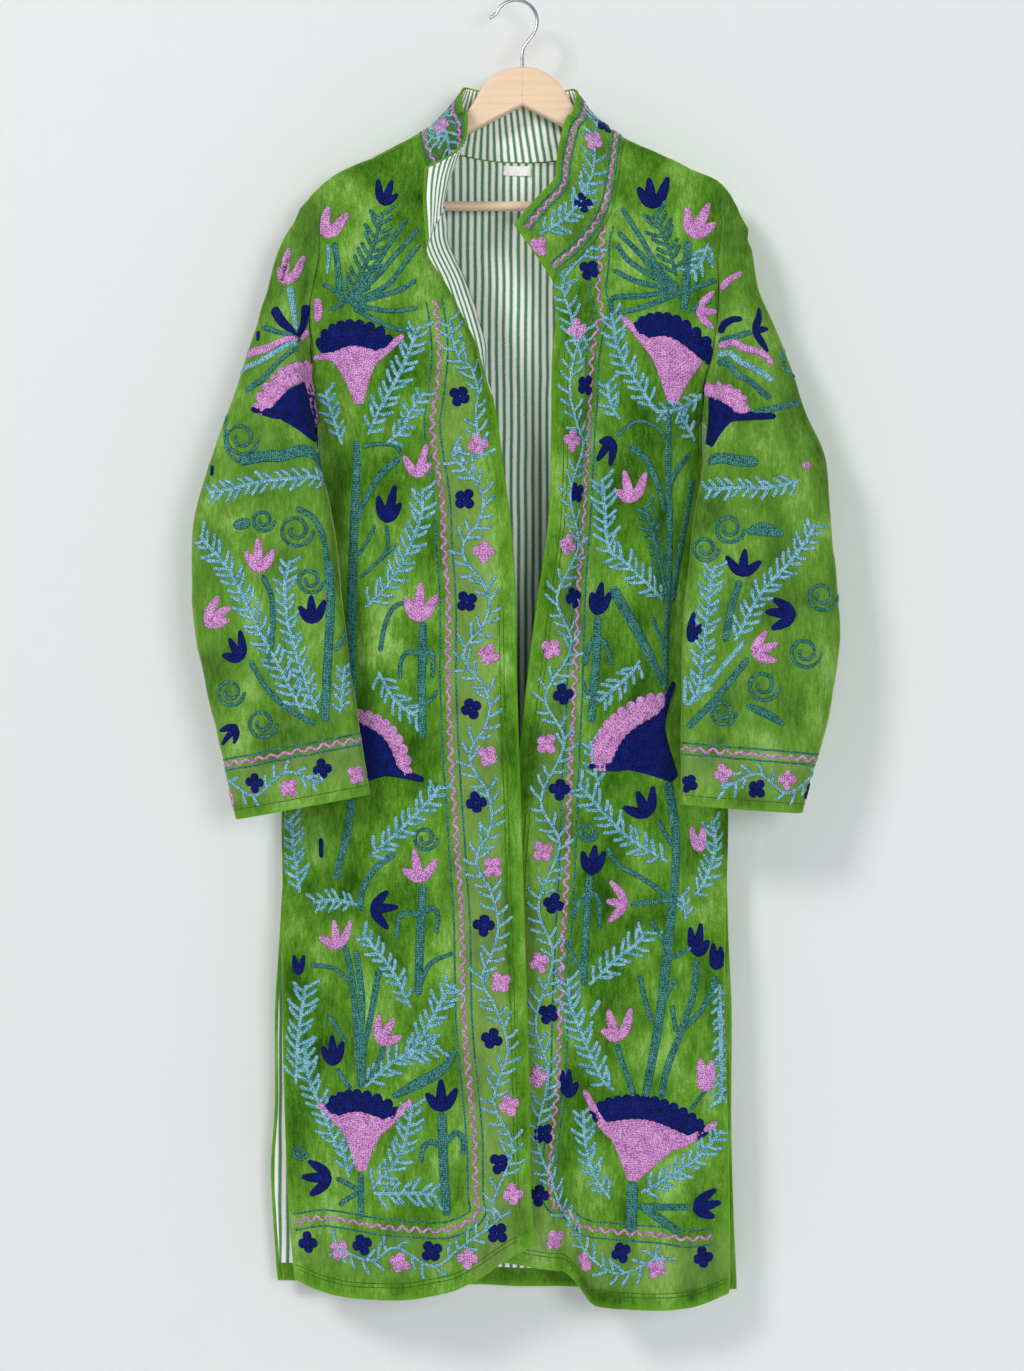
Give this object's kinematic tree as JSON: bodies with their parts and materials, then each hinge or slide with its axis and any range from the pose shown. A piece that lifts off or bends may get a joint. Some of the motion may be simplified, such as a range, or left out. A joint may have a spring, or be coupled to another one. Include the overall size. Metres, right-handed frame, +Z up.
{
  "type": "suzani jacket on a coat hanger",
  "caption": "Long lined velvet jacket with chain-stitch embroidery, a standing collar and an open front, hung on a wooden coat hanger.",
  "frame": {"origin": "inner top of the hanger's hook, where a rail carries it", "axes": "+Z up, the jacket's front towards -Y, the viewer's right and the wearer's left towards +X"},
  "size_m": [0.651, 0.1014, 1.3278],
  "materials": {
    "velvet": "green cotton velvet with short nap and chain-stitch embroidery in four colours",
    "lining": "plain-woven cotton, white with narrow green stripes",
    "label": "bare woven label",
    "beech": "light beech under clear satin lacquer",
    "wire": "chromed steel wire"
  },
  "bodies": {
    "root": {"back": "velvet", "right_front": "velvet", "right_front_side": "velvet", "left_front": "velvet", "left_front_side": "velvet", "right_sleeve": "velvet", "right_sleeve_lower": "velvet", "left_sleeve": "velvet", "left_sleeve_lower": "velvet", "collar": "velvet", "back_lining": "lining", "collar_lining": "lining", "right_front_lining": "lining", "neck_label": "label", "hanger_wood": "beech", "hanger_bar": "beech", "hanger_hook": "wire"}
  },
  "joints": []
}
